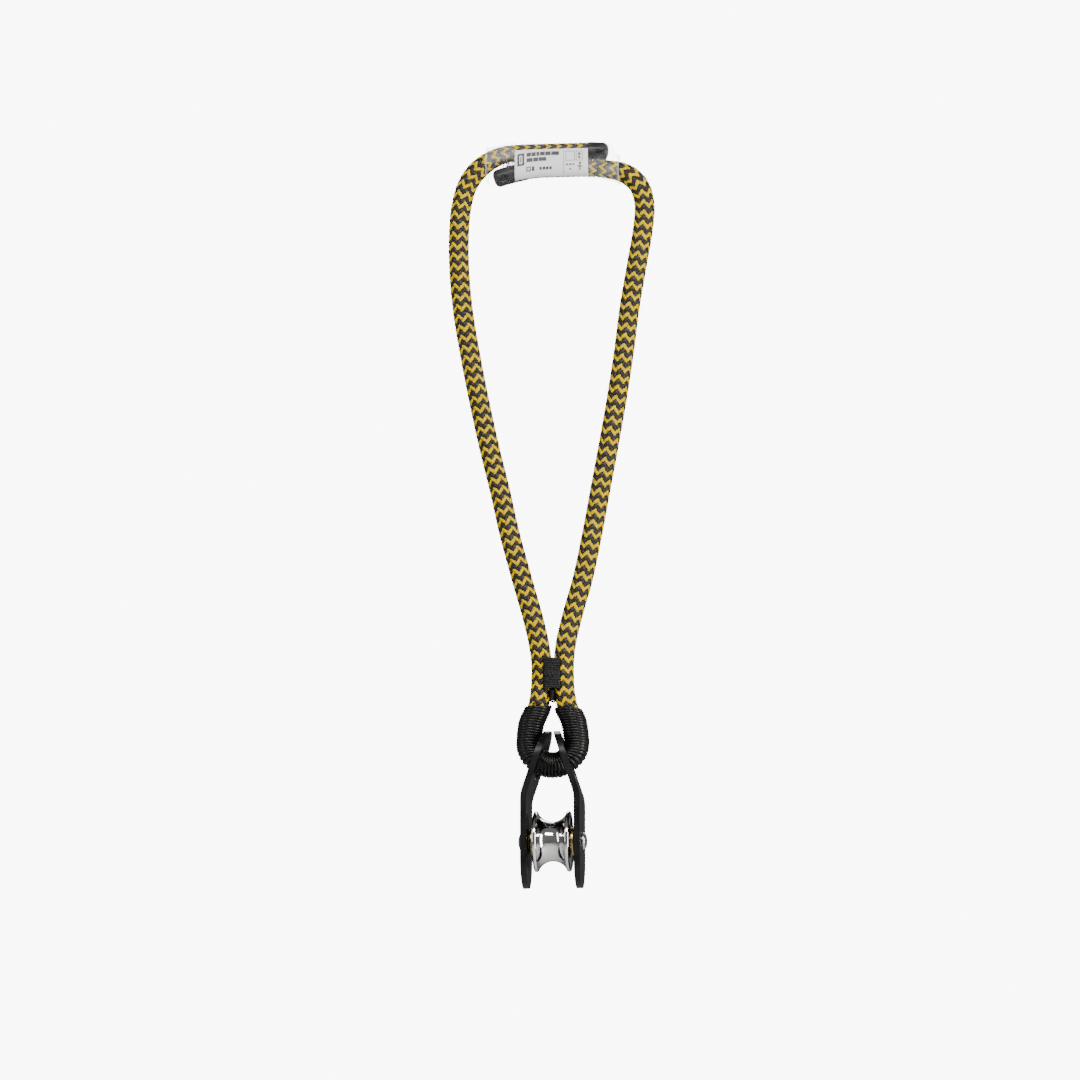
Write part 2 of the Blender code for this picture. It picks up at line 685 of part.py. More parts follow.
# ================================================================ assembly
def main():
    clear_scene()
    parts = new_collection("rope_pulley")
    cutters = new_collection("rope_pulley_cutters")
    line = build_rope(parts)
    build_splice(parts)
    build_throat(parts)
    build_serving(line, parts)

    swing = [build_cheek("cheek_left", -1.0, parts, cutters),
             build_cheek("cheek_right", 1.0, parts, cutters),
             build_axle(parts),
             build_screw("axle_screw_left", -1.0, parts),
             build_screw("axle_screw_right", 1.0, parts),
             build_washer("washer_left", -1.0, parts),
             build_washer("washer_right", 1.0, parts)]
    spin = [build_sheave(parts),
            build_bush("bush_left", -1.0, parts),
            build_bush("bush_right", 1.0, parts)]
    bpy.context.view_layer.update()
    swing_pivot = pivot("pulley_swing_pivot", EYE_HOLE_Z, parts)
    spin_pivot = pivot("sheave_spin_pivot", AXLE_Z, parts)
    parent_to(swing_pivot, swing + [spin_pivot])
    parent_to(spin_pivot, spin)


main()
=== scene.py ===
import math

import bmesh
import bpy
import numpy as np
from mathutils import Matrix, Vector, noise


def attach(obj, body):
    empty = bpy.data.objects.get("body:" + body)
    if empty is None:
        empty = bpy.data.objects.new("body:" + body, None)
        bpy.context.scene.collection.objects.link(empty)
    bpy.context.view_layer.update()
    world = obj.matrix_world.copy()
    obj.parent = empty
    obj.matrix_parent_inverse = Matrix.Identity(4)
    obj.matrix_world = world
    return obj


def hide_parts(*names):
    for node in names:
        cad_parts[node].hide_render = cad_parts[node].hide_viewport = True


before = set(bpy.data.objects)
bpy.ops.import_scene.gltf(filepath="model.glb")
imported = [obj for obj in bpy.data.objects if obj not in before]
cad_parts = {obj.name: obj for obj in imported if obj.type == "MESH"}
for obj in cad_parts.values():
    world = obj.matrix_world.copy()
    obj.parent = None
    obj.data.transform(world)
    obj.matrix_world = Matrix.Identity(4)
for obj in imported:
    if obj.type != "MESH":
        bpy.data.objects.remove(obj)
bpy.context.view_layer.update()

MM = 0.001

# ---------------------------------------------------------------- camera
CAMERA_TARGET = Vector((-0.00765, 0.0, -0.2242))
CAMERA_AZIMUTH = 6.0
CAMERA_ELEVATION = -11.0
CAMERA_DISTANCE = 3.0
CAMERA_LENS = 166.7
FLOOR_Z = -1.15

# ---------------------------------------------------------------- rope route (x, z in metres)
UPPER_STRAND = [(0.0340, 0.0154), (0.0280, 0.0160), (0.0220, 0.0163), (0.0080, 0.0164),
                (-0.0080, 0.0164), (-0.0200, 0.0163)]
LEFT_SHOULDER = [(-0.0300, 0.0152), (-0.0388, 0.0114), (-0.0466, 0.0051), (-0.0524, -0.0040),
                 (-0.0558, -0.0170), (-0.0571, -0.0310)]
LEFT_LEG = [(-0.0570, -0.0550), (-0.0546, -0.0820), (-0.0500, -0.1100), (-0.0446, -0.1380),
            (-0.0388, -0.1650), (-0.0320, -0.1930), (-0.0260, -0.2200), (-0.0188, -0.2470),
            (-0.0118, -0.2720), (-0.0082, -0.2880)]
LEFT_THROAT = [(-0.0067, -0.3000), (-0.0067, -0.3090), (-0.0072, -0.3170), (-0.0089, -0.3260),
               (-0.0128, -0.3360)]
EYE_CENTRE_Z = -0.3466
EYE_R = 0.0141
RIGHT_THROAT = [(0.0128, -0.3360), (0.0089, -0.3260), (0.0072, -0.3170), (0.0067, -0.3090),
                (0.0067, -0.3000)]
RIGHT_LEG = [(0.0080, -0.2870), (0.0120, -0.2700), (0.0184, -0.2470), (0.0240, -0.2200),
             (0.0290, -0.1930), (0.0342, -0.1650), (0.0389, -0.1380), (0.0432, -0.1100),
             (0.0468, -0.0820), (0.0514, -0.0550)]
RIGHT_SHOULDER = [(0.0554, -0.0310), (0.0560, -0.0170), (0.0524, -0.0056), (0.0440, 0.0017),
                  (0.0330, 0.0045)]
LOWER_STRAND = [(0.0200, 0.0054), (0.0080, 0.0055), (-0.0080, 0.0054), (-0.0180, 0.0044),
                (-0.0280, 0.0021), (-0.0358, -0.0002)]
UPPER_CAP = 0.0115
LOWER_CAP = 0.0195

ROPE_R = 6.3 * MM
SPLICE_R = 5.35 * MM
BRAID_LAY = 38.6 * MM
BRAID_ENDS = 12          # strands that run one way round
BRAID_STEP = 0.92 * MM
STRAND_HALF_WIDTH = 1.14 * MM
STRAND_HALF_THICK = 0.60 * MM
STRAND_WAVE = 0.52 * MM

# ---------------------------------------------------------------- whipping and stitching
WHIP_R = 6.88 * MM
WHIP_HALF_THICK = 1.0 * MM
WHIP_LINING_R = 6.38 * MM
WHIP_TURNS = 52
WHIP_LEFT_Z = -0.3256
WHIP_RIGHT_Z = -0.3274
THROAT_TOP_Z = -0.2970
THROAT_ROWS = 18
THROAT_PITCH = 1.03 * MM

# ---------------------------------------------------------------- splice dressing (mm)
FILM_R = 6.15
FILM_STATIONS = [(-40.4, 6.6, 11.8, 1.6), (-37.6, 2.6, 13.2, 0.6), (-35.0, 1.3, 14.2, 0.3),
                 (-31.0, 1.3, 15.4, 0.3), (-26.0, 2.5, 16.1, 0.2), (-20.0, 4.0, 16.3, 0.1),
                 (-14.0, 4.9, 16.4, 0.0), (-6.0, 5.4, 16.4, 0.0), (6.0, 5.4, 16.4, 0.0),
                 (16.0, 5.3, 16.4, 0.0), (24.0, 4.9, 16.2, 0.0), (30.0, 4.6, 15.9, 0.1),
                 (34.2, 4.1, 14.8, 0.3), (37.2, 3.3, 11.0, 0.6), (41.2, 2.2, 3.8, 1.4)]
LABEL_X = (-22.6, 22.2)
LABEL_R = 5.78
LABEL_FROM = 24.0        # degrees from the underside of the lower strand
LABEL_TO = 93.0          # degrees from the underside of the upper strand

# ---------------------------------------------------------------- pulley (mm)
CHEEK_T = 3.6
CHEEK_HALF_DEPTH = 18.0
CHEEK_X = 15.9
CHEEK_TOP_X = 2.5
CHEEK_TOP_Z = -340.4
CHEEK_KNEE_Z = -379.8
CHEEK_BEND_R = 22.0
CHEEK_BOTTOM_Z = -434.4
EYE_HOLE_Z = -357.4
EYE_HOLE_R = 12.2
EYE_HOLE_FLARE = 3.2
AXLE_Z = -406.5
AXLE_HOLE_R = 4.3
HEAD_R = 5.2
HEAD_RISE = 2.2
HEAD_SEAT_GAP = 0.2
SCREW_SHANK_R = 2.5
SCREW_SHANK = 9.0
SHEAVE_R = 18.0
SHEAVE_HALF_WIDTH = 10.95
SHEAVE_BORE_R = 5.8
RIM_ROUND = 0.8
GROOVE_BOTTOM_R = 11.8
GROOVE_R = 9.3


# ================================================================ camera
def make_camera():
    data = bpy.data.cameras.new("camera")
    data.lens = CAMERA_LENS
    data.sensor_width = 36.0
    data.clip_end = 50.0
    camera = bpy.data.objects.new("camera", data)
    az, el = math.radians(CAMERA_AZIMUTH), math.radians(CAMERA_ELEVATION)
    way = Vector((math.sin(az) * math.cos(el), -math.cos(az) * math.cos(el), math.sin(el)))
    camera.location = CAMERA_TARGET + way * CAMERA_DISTANCE
    camera.rotation_euler = (-way).to_track_quat("-Z", "Y").to_euler()
    bpy.context.scene.collection.objects.link(camera)
    bpy.context.scene.camera = camera


# ================================================================ node helpers
def new_material(name, base, roughness, metallic=0.0, **sockets):
    mat = bpy.data.materials.new(name)
    mat.use_nodes = True
    shader = mat.node_tree.nodes["Principled BSDF"]
    shader.inputs["Base Color"].default_value = (*base, 1.0)
    shader.inputs["Roughness"].default_value = roughness
    shader.inputs["Metallic"].default_value = metallic
    for socket, value in sockets.items():
        shader.inputs[socket.replace("_", " ")].default_value = value
    return mat


class Nodes:
    """Short hand for adding and linking nodes in one material."""

    def __init__(self, mat):
        self.tree = mat.node_tree
        self.shader = self.tree.nodes["Principled BSDF"]
        self.normal = None

    def add(self, kind, inputs=None, **props):
        node = self.tree.nodes.new(kind)
        for key, value in props.items():
            setattr(node, key, value)
        for key, value in (inputs or {}).items():
            if isinstance(value, bpy.types.NodeSocket):
                self.tree.links.new(value, node.inputs[key])
            else:
                node.inputs[key].default_value = value
        return node

    def coords(self, scale=(1.0, 1.0, 1.0)):
        where = self.add("ShaderNodeTexCoord").outputs["Object"]
        return self.add("ShaderNodeMapping", {"Vector": where, "Scale": scale}).outputs["Vector"]

    def attribute(self, name):
        return self.add("ShaderNodeAttribute", attribute_name=name)

    def noise(self, vector, scale, detail=3.0, roughness=0.55):
        values = {"Vector": vector, "Scale": scale, "Detail": detail, "Roughness": roughness}
        return self.add("ShaderNodeTexNoise", values).outputs["Fac"]

    def math(self, operation, a, b=0.0):
        return self.add("ShaderNodeMath", {0: a, 1: b}, operation=operation).outputs[0]

    def ramp(self, fac, low, high, start=0.0, end=1.0):
        node = self.add("ShaderNodeValToRGB", {"Fac": fac})
        first, last = node.color_ramp.elements
        first.position, last.position = start, end
        first.color, last.color = (*low, 1.0), (*high, 1.0)
        return node.outputs["Color"]

    def spread(self, fac, low, high, start=0.3, end=0.7):
        values = {"Value": fac, "From Min": start, "From Max": end, "To Min": low, "To Max": high}
        return self.add("ShaderNodeMapRange", values).outputs["Result"]

    def mix(self, fac, a, b, blend="MIX"):
        node = self.tree.nodes.new("ShaderNodeMix")
        node.data_type = "RGBA"
        node.blend_type = blend
        for key, value in ((0, fac), (6, a), (7, b)):
            if isinstance(value, bpy.types.NodeSocket):
                self.tree.links.new(value, node.inputs[key])
            elif key == 0:
                node.inputs[key].default_value = value
            else:
                node.inputs[key].default_value = (*value, 1.0)
        return node.outputs[2]

    def to(self, socket, value):
        self.tree.links.new(value, self.shader.inputs[socket])

    def bump(self, height, strength, distance):
        values = {"Height": height, "Strength": strength, "Distance": distance}
        if self.normal:
            values["Normal"] = self.normal
        self.normal = self.add("ShaderNodeBump", values).outputs["Normal"]
        self.to("Normal", self.normal)


# ================================================================ materials
def fibre_material(name, dark, light, roughness, sheen, twist=1.0, gloss=0.5, relief=1.0):
    """Filament yarn: fine twisted ends across the strand, uneven colour along it, and painted shade in the
    twist grooves.
    """
    mat = new_material(name, light, roughness, Sheen_Weight=sheen, Sheen_Roughness=0.5,
                       Specular_IOR_Level=gloss)
    n = Nodes(mat)
    place = n.attribute("yarn").outputs["Vector"]
    parts = n.add("ShaderNodeSeparateXYZ", {"Vector": place})
    across, along = parts.outputs["X"], parts.outputs["Y"]
    lean = n.math("ADD", n.math("MULTIPLY", across, 9.0), n.math("MULTIPLY", along, 3.2 * twist))
    twist_ridge_and_shade = n.math("SINE", lean)
    blotch = n.noise(n.coords(), 260.0, 3.0)
    speck = n.noise(n.coords(), 2600.0, 2.0)
    # painted shade: the twist ridge darkens the colour in its grooves, mixed with random tone noise
    blend = n.math("ADD", n.math("MULTIPLY", twist_ridge_and_shade, 0.16), n.math("MULTIPLY", speck, 0.55))
    blend = n.math("ADD", blend, n.math("MULTIPLY", blotch, 0.55))
    n.to("Base Color", n.ramp(blend, dark, light, 0.28, 0.72))
    n.to("Roughness", n.spread(speck, roughness - 0.08, roughness + 0.14))
    n.bump(twist_ridge_and_shade, 0.5 * relief, 0.00012)
    n.bump(speck, 0.25 * relief, 0.00008)
    return mat


def rubbery(name, base, roughness):
    mat = new_material(name, base, roughness, Specular_IOR_Level=0.22)
    n = Nodes(mat)
    blotch = n.noise(n.coords(), 180.0, 4.0)
    wrinkle = n.noise(n.coords((60.0, 420.0, 420.0)), 1.0, 3.0)
    n.to("Base Color", n.ramp(blotch, tuple(c * 0.6 for c in base), tuple(c * 1.7 for c in base), 0.3, 0.75))
    n.to("Roughness", n.spread(blotch, roughness - 0.1, roughness + 0.15))
    n.bump(wrinkle, 0.22, 0.0003)
    return mat


def film_material():
    mat = new_material("clear_film", (0.90, 0.91, 0.90), 0.16, IOR=1.5)
    mat.surface_render_method = "BLENDED"
    n = Nodes(mat)
    edge = n.attribute("edge").outputs["Fac"]
    haze = n.noise(n.coords((1.0, 2.2, 2.2)), 170.0, 4.0)
    crease = n.noise(n.coords((0.6, 3.0, 3.0)), 420.0, 4.0, 0.7)
    streak = n.spread(crease, 0.0, 0.26, 0.55, 0.76)
    frost = n.attribute("frost").outputs["Fac"]
    body = n.math("ADD", n.spread(haze, 0.25, 1.6), n.math("MULTIPLY", streak, 5.0))
    body = n.math("MULTIPLY", body, frost)
    n.to("Alpha", n.math("ADD", body, n.math("MULTIPLY", edge, 0.45)))
    n.to("Roughness", n.spread(haze, 0.10, 0.30))
    n.bump(crease, 0.8, 0.0004)
    return mat


def label_material():
    mat = new_material("label_tape", (0.88, 0.88, 0.87), 0.38)
    n = Nodes(mat)
    grain = n.noise(n.coords(), 900.0, 3.0)
    wave = n.noise(n.coords((1.0, 1.0, 1.0)), 90.0, 2.0)
    n.to("Base Color", n.ramp(grain, (0.80, 0.80, 0.79), (0.90, 0.90, 0.89), 0.3, 0.7))
    n.to("Roughness", n.spread(grain, 0.32, 0.5))
    n.bump(wave, 0.25, 0.0004)
    return mat


def ink_material():
    mat = new_material("label_ink", (0.016, 0.016, 0.018), 0.45)
    n = Nodes(mat)
    grain = n.noise(n.coords(), 2500.0, 2.0)
    n.to("Base Color", n.ramp(grain, (0.010, 0.010, 0.011), (0.035, 0.035, 0.038), 0.3, 0.8))
    n.to("Roughness", n.spread(grain, 0.38, 0.55))
    return mat


def anodised_material():
    """Satin black finish with a fine blasted grain and a few rub marks."""
    mat = new_material("satin_black", (0.014, 0.0145, 0.016), 0.36, Specular_IOR_Level=0.28)
    n = Nodes(mat)
    grain = n.noise(n.coords(), 2400.0, 3.0)
    patch = n.noise(n.coords(), 75.0, 4.0)
    rub = n.noise(n.coords((260.0, 260.0, 22.0)), 1.0, 5.0, 0.7)
    n.to("Base Color", n.ramp(patch, (0.0012, 0.00125, 0.0013), (0.0026, 0.0027, 0.0029), 0.3, 0.7))
    n.to("Roughness", n.math("ADD", n.spread(patch, 0.30, 0.40), n.spread(rub, 0.0, 0.10, 0.5, 0.75)))
    n.bump(grain, 0.08, 0.00003)
    n.bump(rub, 0.06, 0.00008)
    return mat


def turned_material(name, dark, light, roughness, ring_scale, ring_depth, scratch=0.03):
    """Lathe-turned metal: rings about the X axis and faint running marks."""
    mat = new_material(name, light, roughness, 1.0)
    n = Nodes(mat)
    place = n.add("ShaderNodeTexCoord").outputs["Object"]
    parts = n.add("ShaderNodeSeparateXYZ", {"Vector": place})
    high = n.math("ADD", parts.outputs["Z"], -AXLE_Z * MM)
    away = n.math("SQRT", n.math("ADD", n.math("POWER", parts.outputs["Y"], 2.0), n.math("POWER", high, 2.0)))
    ring_place = n.add("ShaderNodeCombineXYZ", {"X": parts.outputs["X"], "Y": away})
    ring = n.noise(ring_place.outputs["Vector"], ring_scale, 3.0, 0.7)
    patch = n.noise(n.coords(), 140.0, 4.0)
    n.to("Base Color", n.ramp(patch, dark, light, 0.25, 0.7))
    ring_gloss = n.spread(ring, roughness - scratch, roughness + scratch)
    n.to("Roughness", n.math("ADD", ring_gloss, n.spread(patch, 0.0, scratch)))
    n.bump(ring, 0.16, ring_depth)
    return mat


# ================================================================ mesh helpers
def add_mesh(name, verts, faces, mat, body, sharp=None):
    mesh = bpy.data.meshes.new(name)
    mesh.from_pydata([tuple(v) for v in verts], [], [tuple(f) for f in faces])
    mesh.validate()
    mesh.shade_smooth()
    if sharp:
        mesh.set_sharp_from_angle(angle=math.radians(sharp))
    mesh.materials.append(mat)
    obj = bpy.data.objects.new(name, mesh)
    bpy.context.scene.collection.objects.link(obj)
    if body:
        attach(obj, body)
    return obj


def grid_faces(rows, cols, closed, base=0):
    """Quads over rows x cols points; closed joins the last column to the first."""
    r = np.arange(rows - 1)[:, None]
    c = np.arange(cols if closed else cols - 1)[None, :]
    d = (c + 1) % cols
    quads = np.stack([r * cols + c, r * cols + d, (r + 1) * cols + d, (r + 1) * cols + c], axis=-1)
    return quads.reshape(-1, 4) + base


def sweep(centres, side, up, half_side, half_up, section):
    """Points of a tube: section holds (side, up) shares of the two half sizes."""
    section = np.array(section)
    a = side[:, None, :] * (half_side[:, None] * section[None, :, 0])[:, :, None]
    b = up[:, None, :] * (half_up[:, None] * section[None, :, 1])[:, :, None]
    return (centres[:, None, :] + a + b).reshape(-1, 3)


def unit(v):
    return v / np.maximum(np.linalg.norm(v, axis=-1, keepdims=True), 1e-12)


def ellipse(count, turn=0.0):
    angles = [turn + 2.0 * math.pi * i / count for i in range(count)]
    return [(math.cos(a), math.sin(a)) for a in angles]


class Bundle:
    """Several tubes gathered into one mesh, with the yarn attribute."""

    def __init__(self):
        self.verts, self.faces, self.yarn, self.count = [], [], [], 0

    def tube(self, centres, up_hint, half_side, half_up, section, caps=True):
        rows, cols = len(centres), len(section)
        along = unit(np.gradient(centres, axis=0))
        side = unit(np.cross(along, up_hint))
        up = np.cross(side, along)
        points = sweep(centres, side, up, half_side, half_up, section)
        self.verts.append(points)
        self.faces += grid_faces(rows, cols, True, self.count).tolist()
        if caps:
            self.faces.append(list(range(self.count + cols - 1, self.count - 1, -1)))
            end = self.count + (rows - 1) * cols
            self.faces.append(list(range(end, end + cols)))
        run = np.concatenate([[0.0], np.cumsum(np.linalg.norm(np.diff(centres, axis=0), axis=1))])
        across = np.array([s[0] for s in section])
        yarn = np.zeros((rows, cols, 3))
        yarn[:, :, 0] = across[None, :]
        yarn[:, :, 1] = run[:, None] / MM
        self.yarn.append(yarn.reshape(-1, 3))
        self.count += rows * cols

    def make(self, name, mat, body):
        obj = add_mesh(name, np.concatenate(self.verts), self.faces, mat, body)
        layer = obj.data.attributes.new("yarn", "FLOAT_VECTOR", "POINT")
        layer.data.foreach_set("vector", np.concatenate(self.yarn).astype(np.float32).ravel())
        return obj


# ================================================================ rope centre line
def rope_route():
    arc = []
    for degrees in range(180, 361, 15):
        angle = math.radians(degrees)
        arc.append((EYE_R * math.cos(angle), EYE_CENTRE_Z + EYE_R * math.sin(angle)))
    route = UPPER_STRAND + LEFT_SHOULDER + LEFT_LEG + LEFT_THROAT + arc
    return route + RIGHT_THROAT + RIGHT_LEG + RIGHT_SHOULDER + LOWER_STRAND


def spline_point(p0, p1, p2, p3, t):
    """Centripetal Catmull-Rom point between p1 and p2."""
    knots = [0.0]
    for a, b in ((p0, p1), (p1, p2), (p2, p3)):
        knots.append(knots[-1] + np.linalg.norm(b - a) ** 0.5)
    k0, k1, k2, k3 = knots
    u = k1 + (k2 - k1) * t
    a1 = p0 * (k1 - u) / (k1 - k0) + p1 * (u - k0) / (k1 - k0)
    a2 = p1 * (k2 - u) / (k2 - k1) + p2 * (u - k1) / (k2 - k1)
    a3 = p2 * (k3 - u) / (k3 - k2) + p3 * (u - k2) / (k3 - k2)
    b1 = a1 * (k2 - u) / (k2 - k0) + a2 * (u - k0) / (k2 - k0)
    b2 = a2 * (k3 - u) / (k3 - k1) + a3 * (u - k1) / (k3 - k1)
    return b1 * (k2 - u) / (k2 - k1) + b2 * (u - k1) / (k2 - k1)


def smooth_line():
    pts = [np.array((x, 0.0, z)) for x, z in rope_route()]
    pts = [2.0 * pts[0] - pts[1]] + pts + [2.0 * pts[-1] - pts[-2]]
    dense = []
    for i in range(1, len(pts) - 2):
        for step in range(12):
            dense.append(spline_point(pts[i - 1], pts[i], pts[i + 1], pts[i + 2], step / 12.0))
    dense.append(pts[-2])
    return np.array(dense)


class Line:
    """The rope's centre line, read by the length along it."""

    def __init__(self, points):
        self.points = points
        steps = np.linalg.norm(np.diff(points, axis=0), axis=1)
        self.run = np.concatenate([[0.0], np.cumsum(steps)])
        self.length = float(self.run[-1])
        along = unit(np.gradient(points, self.run, axis=0))
        window = np.ones(9) / 9.0
        for axis in (0, 2):
            padded = np.pad(along[:, axis], 4, mode="edge")
            along[:, axis] = np.convolve(padded, window, mode="valid")
        self.along = unit(along)

    def at(self, s):
        where = np.stack([np.interp(s, self.run, self.points[:, i]) for i in range(3)], axis=-1)
        along = unit(np.stack([np.interp(s, self.run, self.along[:, i]) for i in range(3)], axis=-1))
        across = np.stack([-along[:, 2], np.zeros(len(s)), along[:, 0]], axis=-1)
        return where, along, across

    def find(self, z, side):
        """Length where the line passes height z on one side (-1 left, 1 right)."""
        for i in range(len(self.points) - 1):
            a, b = self.points[i], self.points[i + 1]
            if a[0] * side > 0 and (a[2] - z) * (b[2] - z) <= 0 and abs(a[0]) < 0.03:
                return self.run[i] + (self.run[i + 1] - self.run[i]) * (z - a[2]) / (b[2] - a[2])
        raise ValueError("height not on the line")


def rope_radius(where):
    share = np.clip((np.abs(where[:, 0]) - 0.026) / 0.020, 0.0, 1.0)
    share = np.where(where[:, 2] < -0.008, 1.0, share)
    return SPLICE_R + (ROPE_R - SPLICE_R) * share


Y_AXIS = np.array((0.0, 1.0, 0.0))


def make_braid(line, yellow, black):
    """Two sets of strands, each passing over two and under two of the other set."""
    start, end = UPPER_CAP - 0.5 * MM, line.length - LOWER_CAP + 0.5 * MM
    s = np.linspace(start, end, int((end - start) / BRAID_STEP))
    where, _, across = line.at(s)
    radius = rope_radius(where)
    section = [(1.0, 0.0), (0.55, 0.86), (-0.55, 0.86), (-1.0, 0.0), (-0.55, -0.8), (0.55, -0.8)]
    bundles = {0: Bundle(), 1: Bundle()}
    rng = np.random.default_rng(7)
    count = BRAID_ENDS
    beat = 2.0 * count * s / BRAID_LAY
    for way in (1.0, -1.0):
        for i in range(count):
            theta = 2.0 * math.pi * i / count + way * 2.0 * math.pi * s / BRAID_LAY
            if way > 0:
                phase = (beat + 2.0 * i - 0.5) / 4.0
            else:
                phase = (2.0 * i - beat - 2.5) / 4.0
            height = np.clip(1.45 * np.cos(2.0 * math.pi * phase), -1.0, 1.0)
            wander = np.interp(s, np.linspace(start, end, 160), rng.normal(0.0, 1.0, 160))
            swell = np.interp(s, np.linspace(start, end, 300), rng.normal(0.0, 1.0, 300))
            theta = theta + 0.018 * wander
            out = across * np.cos(theta)[:, None] + Y_AXIS * np.sin(theta)[:, None]
            lift = radius - STRAND_HALF_THICK - STRAND_WAVE * (1.0 - height) + 0.035 * MM * swell
            centres = where + out * lift[:, None]
            size = radius / ROPE_R
            fullness = 1.16 if i % 2 == 0 else 0.86
            half_side = STRAND_HALF_WIDTH * fullness * size * (1.0 + 0.05 * swell)
            half_up = STRAND_HALF_THICK * size * (1.0 - 0.04 * swell)
            bundles[i % 2].tube(centres, out, half_side, half_up, section)
    first = bundles[0].make("rope_strands_black", black, "sling")
    second = bundles[1].make("rope_strands_yellow", yellow, "sling")
    return first, second, where


def make_liner(line, mat):
    """The yarn core seen between the strands of the cover, coloured dark grey-brown as painted shade between
    the strands.
    """
    start, end = UPPER_CAP, line.length - LOWER_CAP
    s = np.linspace(start, end, 420)
    where, _, across = line.at(s)
    bundle = Bundle()
    size = rope_radius(where) - 1.75 * MM
    bundle.tube(where, across, size, size, ellipse(16))
    return bundle.make("rope_core_yarns", mat, "sling")


def make_cap(name, line, start, end, tip_first, mat):
    """Dipped end with a rounded tip and the braid's ridges faintly under the skin."""
    s = np.linspace(start, end, 40)
    where, _, across = line.at(s)
    depth = np.abs(s - (start if tip_first else end))
    tip = np.sqrt(np.clip(1.0 - (1.0 - np.clip(depth / (3.2 * MM), 0.0, 1.0)) ** 2, 0.02, 1.0))
    sides = 40
    ring = np.linspace(0.0, 2.0 * math.pi, sides, endpoint=False)
    verts = []
    for k in range(len(s)):
        base = (SPLICE_R + 0.12 * MM) * (0.35 + 0.65 * tip[k])
        for angle in ring:
            wave = math.sin(12 * angle + s[k] * 900.0) * math.sin(12 * angle - s[k] * 900.0)
            r = base * (1.0 + 0.012 * wave * tip[k])
            r += 0.12 * MM * noise.noise(Vector((s[k] * 300.0, math.cos(angle) * 2, math.sin(angle) * 2)))
            verts.append(where[k] + r * (across[k] * math.cos(angle) + Y_AXIS * math.sin(angle)))
    faces = grid_faces(len(s), sides, True).tolist()
    faces.append(list(range(sides - 1, -1, -1)))
    last = (len(s) - 1) * sides
    faces.append(list(range(last, last + sides)))
    return add_mesh(name, verts, faces, mat, "sling")


def make_whipping(line, mat):
    start = line.find(WHIP_LEFT_Z, -1)
    end = line.find(WHIP_RIGHT_Z, 1)
    steps = WHIP_TURNS * 34
    share = np.linspace(0.0, 1.0, steps)
    pitch = (end - start) / WHIP_TURNS
    s = start + (end - start) * share
    where, along, across = line.at(s)
    turn = np.gradient(along, s, axis=0)
    bend = np.einsum("ij,ij->i", turn, across)
    bend = np.convolve(np.pad(bend, 60, mode="edge"), np.ones(121) / 121.0, mode="valid")
    angle = 2.0 * math.pi * WHIP_TURNS * share
    rng = np.random.default_rng(3)
    swell = np.interp(share, np.linspace(0, 1, 260), rng.normal(0.0, 1.0, 260))
    out = across * np.cos(angle)[:, None] + Y_AXIS * np.sin(angle)[:, None]
    room = np.clip(1.0 - bend * WHIP_R * np.cos(angle), 0.42, 1.6)
    level = np.clip((np.abs(along[:, 2]) - 0.55) / 0.38, 0.0, 1.0) ** 1.5
    lean = -across[:, 2] / np.where(np.abs(along[:, 2]) < 0.5, 1.0, along[:, 2]) * level
    centres = where + out * (WHIP_R + 0.05 * MM * swell)[:, None]
    centres = centres + along * (lean * WHIP_R * np.cos(angle))[:, None]
    half_side = 0.60 * pitch * room
    half_up = np.full(steps, WHIP_HALF_THICK) * (1.0 + 0.03 * swell)
    bundle = Bundle()
    bundle.tube(centres, out, half_side, half_up, ellipse(10))
    for where_s, sign in ((start, 1.0), (end, -1.0)):
        bundle_tail(bundle, line, where_s, sign)
    lining_s = np.linspace(start + 1.5 * MM, end - 1.5 * MM, 90)
    lining_where, _, lining_across = line.at(lining_s)
    lining_size = np.full(90, WHIP_LINING_R)
    bundle.tube(lining_where, lining_across, lining_size, lining_size, ellipse(28))
    return bundle.make("eye_whipping", mat, "sling")


def bundle_tail(bundle, line, at, sign):
    """The end of the whipping cord, tucked back under its first turns."""
    s = at + sign * np.linspace(-0.8, 5.0, 14) * MM
    where, _, across = line.at(s)
    angle = np.radians(np.linspace(250.0, 282.0, 14))
    out = across * np.cos(angle)[:, None] + Y_AXIS * np.sin(angle)[:, None]
    lift = np.interp(np.arange(14), [0, 3, 13], [7.0, 7.5, 6.6]) * MM
    bundle.tube(where + out * lift[:, None], out, np.full(14, 0.7 * MM), np.full(14, 0.6 * MM), ellipse(8))


# ================================================================ throat stitching
def make_throat(mat):
    bundle = Bundle()
    rng = np.random.default_rng(11)
    for side in (-1.0, 1.0):
        for row in range(THROAT_ROWS):
            z = THROAT_TOP_Z - (row + 0.5) * THROAT_PITCH + rng.normal(0.0, 0.08) * MM
            half = (5.25 + rng.normal(0.0, 0.12)) * MM
            x = np.linspace(-half, half, 17)
            share = np.abs(x) / half
            tuck = 1.4 * np.clip(share - 0.86, 0.0, 1.0) / 0.14
            y = 7.15 - 0.25 * share ** 2 - tuck + rng.normal(0.0, 0.05)
            drop = rng.normal(0.0, 0.12) * np.linspace(-1.0, 1.0, 17)
            centres = np.stack([x, side * y * MM, z + drop * MM], axis=-1)
            up = np.tile(np.array((0.0, side, 0.0)), (17, 1))
            bundle.tube(centres, up, np.full(17, 0.56 * MM), np.full(17, 0.44 * MM), ellipse(8))
    for k in range(6):
        z = THROAT_TOP_Z - (THROAT_ROWS + 0.8 + 1.05 * k) * THROAT_PITCH
        angle = np.linspace(0.0, 2.0 * math.pi, 25)
        x = (2.0 - 0.12 * k) * np.cos(angle) * MM
        y = 5.1 * np.sin(angle) * MM
        centres = np.stack([x, y, np.full(25, z)], axis=-1)
        up = unit(np.stack([x, y, np.zeros(25)], axis=-1))
        bundle.tube(centres, up, np.full(25, 0.5 * MM), np.full(25, 0.45 * MM), ellipse(8))
    return bundle.make("throat_thread", mat, "sling")


